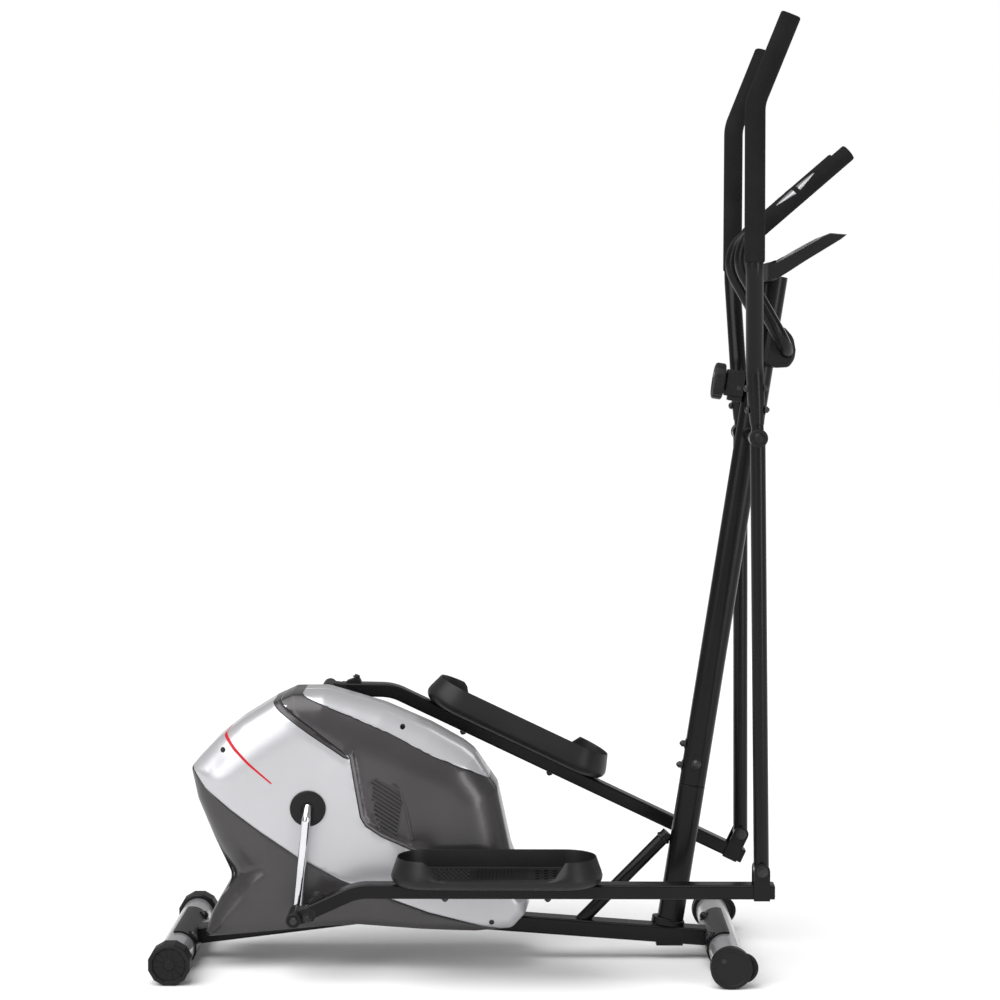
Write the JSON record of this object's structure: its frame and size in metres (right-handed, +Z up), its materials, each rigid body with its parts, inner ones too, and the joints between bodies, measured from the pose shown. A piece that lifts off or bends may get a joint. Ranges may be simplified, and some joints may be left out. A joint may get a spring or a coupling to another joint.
{
  "type": "elliptical trainer",
  "caption": "Upright elliptical trainer with rear drive casing, linked pedals, swinging upper handles, fixed handlebar, tension knob and console.",
  "frame": {"origin": "centre of the bounding box in plan, at floor level", "axes": "+X the way the rider faces, +Y to the rider's left, +Z up"},
  "size_m": [1.2156, 0.5396, 1.652],
  "materials": {
    "black_paint": "gloss black powder coat",
    "chrome": "polished",
    "zinc_steel": "zinc plated",
    "silver_tube": "silver metallic gloss",
    "silver_plastic": "silver and dark grey metallic",
    "black_plastic": "fine grained black",
    "black_foam": "closed-cell foam",
    "rubber": "smooth",
    "flywheel_iron": "machined",
    "screen_glass": "dark screen"
  },
  "bodies": {
    "frame": {"main_beam": "black_paint", "rear_stabiliser_tube": "silver_tube", "rear_saddle": "black_paint", "front_stabiliser_tube": "silver_tube", "front_saddle": "black_paint", "front_end_cap_right": "black_plastic", "front_end_cap_left": "black_plastic", "upright_socket": "black_paint", "diagonal_brace": "black_paint", "handlebar_post": "black_paint", "pivot_axle": "chrome", "crank_bearing": "zinc_steel", "axle_tower": "black_paint", "drive_belt": "rubber", "flywheel_bracket": "black_paint", "idler_arm": "zinc_steel", "vent_panel_right": "black_plastic", "casing_right": "silver_plastic", "vent_panel_left": "black_plastic", "casing_left": "silver_plastic", "static_handlebar": "black_paint", "static_grip_right": "black_foam", "static_grip_left": "black_foam", "handlebar_clamp_cover": "black_plastic", "console_housing": "black_plastic", "console_display": "screen_glass", "tension_housing": "black_plastic"},
    "crank": {"crank_arm_right": "chrome", "crank_arm_left": "chrome", "crank_cover_disc_right": "black_plastic", "crank_cover_disc_left": "black_plastic", "crank_axle": "zinc_steel", "crank_pulley": "black_plastic"},
    "flywheel": {"flywheel": "flywheel_iron", "flywheel_shaft": "zinc_steel"},
    "idler": {"idler_pulley": "black_plastic"},
    "brake": {"brake_arm": "zinc_steel"},
    "knob": {"tension_knob": "black_plastic"},
    "button": {"console_button": "rubber"},
    "swing_right": {"swing_lower_arm_right": "black_paint", "swing_upper_handle_right": "black_paint", "foam_grip_right": "black_foam", "pivot_cap_right": "black_plastic"},
    "pedal_arm_right": {"pedal_arm_right": "black_paint", "pedal_right": "black_plastic", "clevis_pin_right": "zinc_steel", "crank_pin_housing_right": "black_plastic"},
    "wheel_right": {"transport_wheel_right": "black_plastic"},
    "leveller_right": {"rear_levelling_cap_right": "black_plastic"},
    "swing_left": {"swing_lower_arm_left": "black_paint", "swing_upper_handle_left": "black_paint", "foam_grip_left": "black_foam", "pivot_cap_left": "black_plastic"},
    "pedal_arm_left": {"pedal_arm_left": "black_paint", "pedal_left": "black_plastic", "clevis_pin_left": "zinc_steel", "crank_pin_housing_left": "black_plastic"},
    "wheel_left": {"transport_wheel_left": "black_plastic"},
    "leveller_left": {"rear_levelling_cap_left": "black_plastic"}
  },
  "joints": [
    {"name": "crank_turn", "type": "hinge", "parent": "frame", "child": "crank", "pos_m": [-0.34107, 0, 0.2875], "axis": [0, 1, 0], "range_deg": [0, 83.7]},
    {"name": "swing_right", "type": "hinge", "parent": "frame", "child": "swing_right", "pos_m": [0.43723, 0, 0.94], "axis": [0, 1, 0], "range_deg": [0, 12.6]},
    {"name": "pedal_arm_right", "type": "hinge", "parent": "swing_right", "child": "pedal_arm_right", "pos_m": [0.44817, 0, 0.19408], "axis": [0, 1, 0], "range_deg": [-1.08, 0]},
    {"name": "swing_left", "type": "hinge", "parent": "frame", "child": "swing_left", "pos_m": [0.43723, 0, 0.94], "axis": [0, 1, 0], "range_deg": [-16.23, 0]},
    {"name": "pedal_arm_left", "type": "hinge", "parent": "swing_left", "child": "pedal_arm_left", "pos_m": [0.44158, 0, 0.19401], "axis": [0, 1, 0], "range_deg": [0, 1.15]},
    {"name": "flywheel_spin", "type": "hinge", "parent": "frame", "child": "flywheel", "pos_m": [-0.11277, 0, 0.215], "axis": [0, 1, 0], "range_deg": [0, 530]},
    {"name": "idler_spin", "type": "hinge", "parent": "frame", "child": "idler", "pos_m": [-0.21517, 0, 0.1596], "axis": [0, 1, 0], "range_deg": [-680, 0]},
    {"name": "tension_turn", "type": "hinge", "parent": "frame", "child": "knob", "pos_m": [0.39121, 0, 1.03424], "axis": [-0.988, 0, 0.1541], "range_deg": [0, 270]},
    {"name": "brake_pivot", "type": "hinge", "parent": "frame", "child": "brake", "pos_m": [-0.03477, 0, 0.322], "axis": [0, 1, 0], "range_deg": [0, 6.2]},
    {"name": "button_press", "type": "slide", "parent": "frame", "child": "button", "axis": [0.4894, 0, -0.8721], "range_m": [0, 0.0015], "stiffness_N_per_m": 400},
    {"name": "wheel_spin_right", "type": "hinge", "parent": "frame", "child": "wheel_right", "pos_m": [0.41323, 0, 0.035], "axis": [0, 1, 0], "continuous": true},
    {"name": "leveller_turn_right", "type": "hinge", "parent": "frame", "child": "leveller_right", "pos_m": [-0.57177, 0, 0.036], "axis": [0, 1, 0], "continuous": true},
    {"name": "wheel_spin_left", "type": "hinge", "parent": "frame", "child": "wheel_left", "pos_m": [0.41323, 0, 0.035], "axis": [0, 1, 0], "continuous": true},
    {"name": "leveller_turn_left", "type": "hinge", "parent": "frame", "child": "leveller_left", "pos_m": [-0.57177, 0, 0.036], "axis": [0, 1, 0], "continuous": true}
  ],
  "couplings": [
    {"joint": "swing_right", "follows": "crank_turn", "ratio": 0.14753},
    {"joint": "pedal_arm_right", "follows": "crank_turn", "ratio": -0.011712},
    {"joint": "swing_left", "follows": "crank_turn", "ratio": -0.19015},
    {"joint": "pedal_arm_left", "follows": "crank_turn", "ratio": 0.012433},
    {"joint": "flywheel_spin", "follows": "crank_turn", "ratio": 6.25},
    {"joint": "idler_spin", "follows": "crank_turn", "ratio": -8},
    {"joint": "brake_pivot", "follows": "tension_turn", "ratio": 0.022222}
  ]
}
